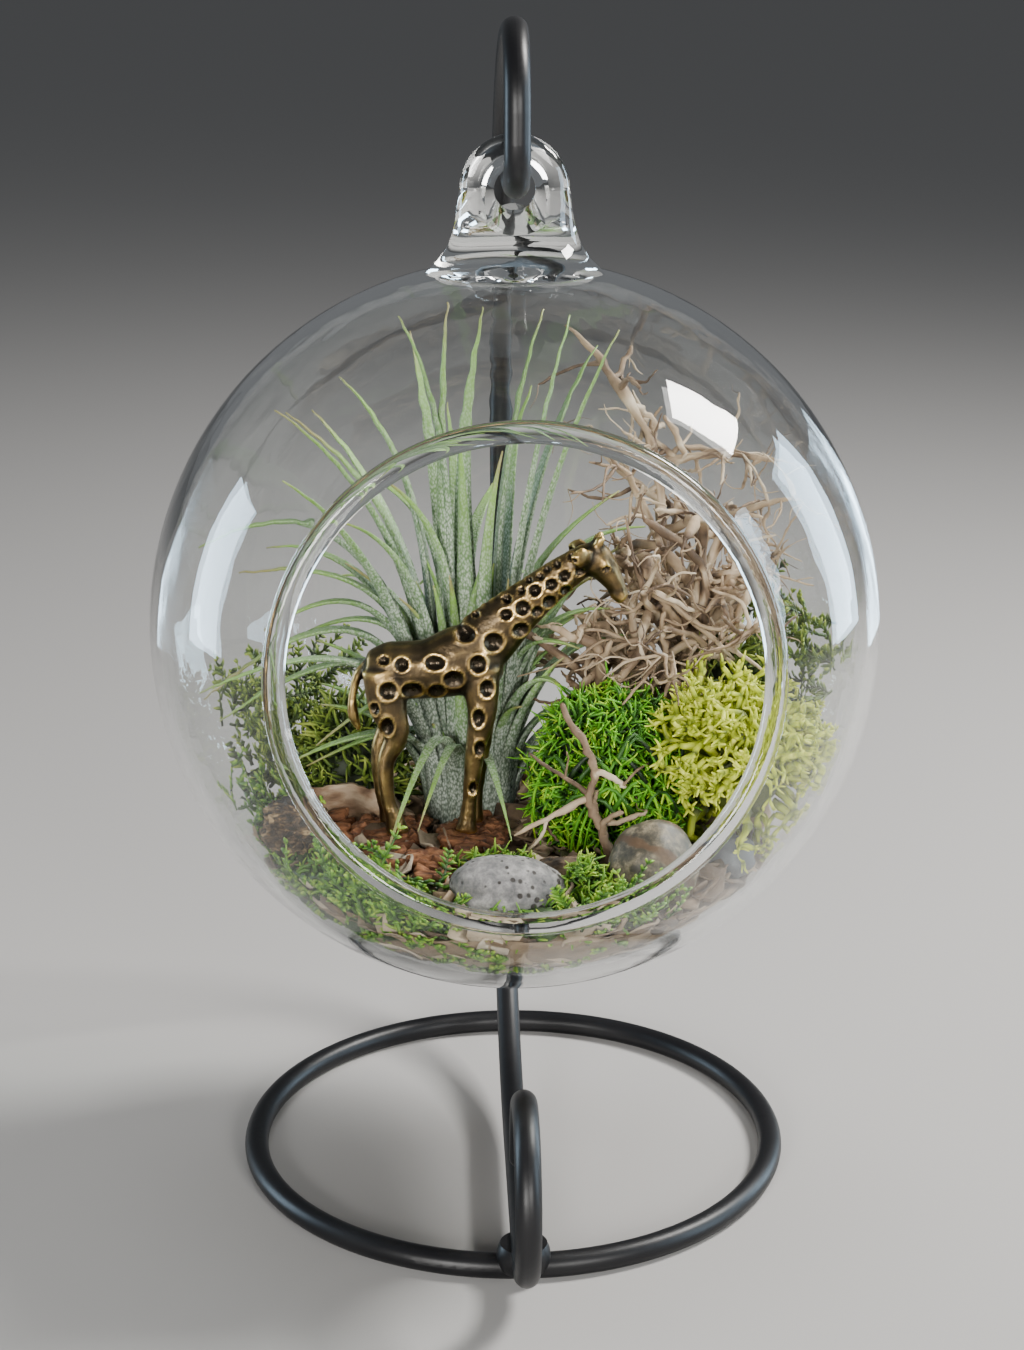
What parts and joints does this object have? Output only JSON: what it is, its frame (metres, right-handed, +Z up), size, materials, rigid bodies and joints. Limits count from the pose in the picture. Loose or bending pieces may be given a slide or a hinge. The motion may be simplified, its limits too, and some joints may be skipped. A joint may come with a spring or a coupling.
{
  "type": "air plant holder",
  "caption": "Clear glass globe with a round front opening, hung by its loop from a bent rod stand on a ring, planted with an air plant, moss, stones, twigs and a giraffe figurine.",
  "frame": {"origin": "middle of the base ring, on the surface that it stands on", "axes": "+Z up, -Y towards the globe's opening and the stand's front scroll, +X to the right as seen from the front"},
  "size_m": [0.15, 0.1748, 0.2449],
  "materials": {
    "black_steel": "satin black coat",
    "clear_glass": "clear, fire polished",
    "leaf_litter": "dry leaf litter and shavings",
    "plant_leaf": "living leaf with pale scales",
    "aged_bronze": "dark aged bronze with rubbed high spots",
    "pale_twig": "dry bark",
    "brown_twig": "dry bark",
    "bright_moss": "fine curly moss",
    "lichen": "branching lichen",
    "fern_moss": "feathery moss",
    "olive_moss": "dry moss",
    "grey_stone": "pitted",
    "brown_stone": "banded, smooth",
    "dark_stone": "smooth",
    "dark_bark": "rough bark",
    "red_bark": "fibrous bark",
    "tan_bark": "thin curled bark",
    "chip_stone": "rough"
  },
  "bodies": {
    "stand": {"base_ring": "black_steel", "stand_rod": "black_steel", "weld_bead": "black_steel"},
    "globe": {"glass_globe": "clear_glass", "litter_bed": "leaf_litter", "air_plant": "plant_leaf", "figurine": "aged_bronze", "twig_cluster": "pale_twig", "forked_twig": "brown_twig", "green_moss": "bright_moss", "reindeer_moss": "lichen", "left_moss": "fern_moss", "front_moss": "fern_moss", "back_moss": "olive_moss", "right_moss": "olive_moss", "grey_pebble": "grey_stone", "brown_pebble": "brown_stone", "dark_pebble": "dark_stone", "bark_nugget": "dark_bark", "bark_chips": "red_bark", "leaf_scrap": "tan_bark", "stone_chip": "chip_stone"}
  },
  "joints": [
    {"name": "globe_swing", "type": "hinge", "parent": "stand", "child": "globe", "pos_m": [0, -0.007, 0.21335], "axis": [0, 1, 0], "range_deg": [-35, 35]}
  ]
}
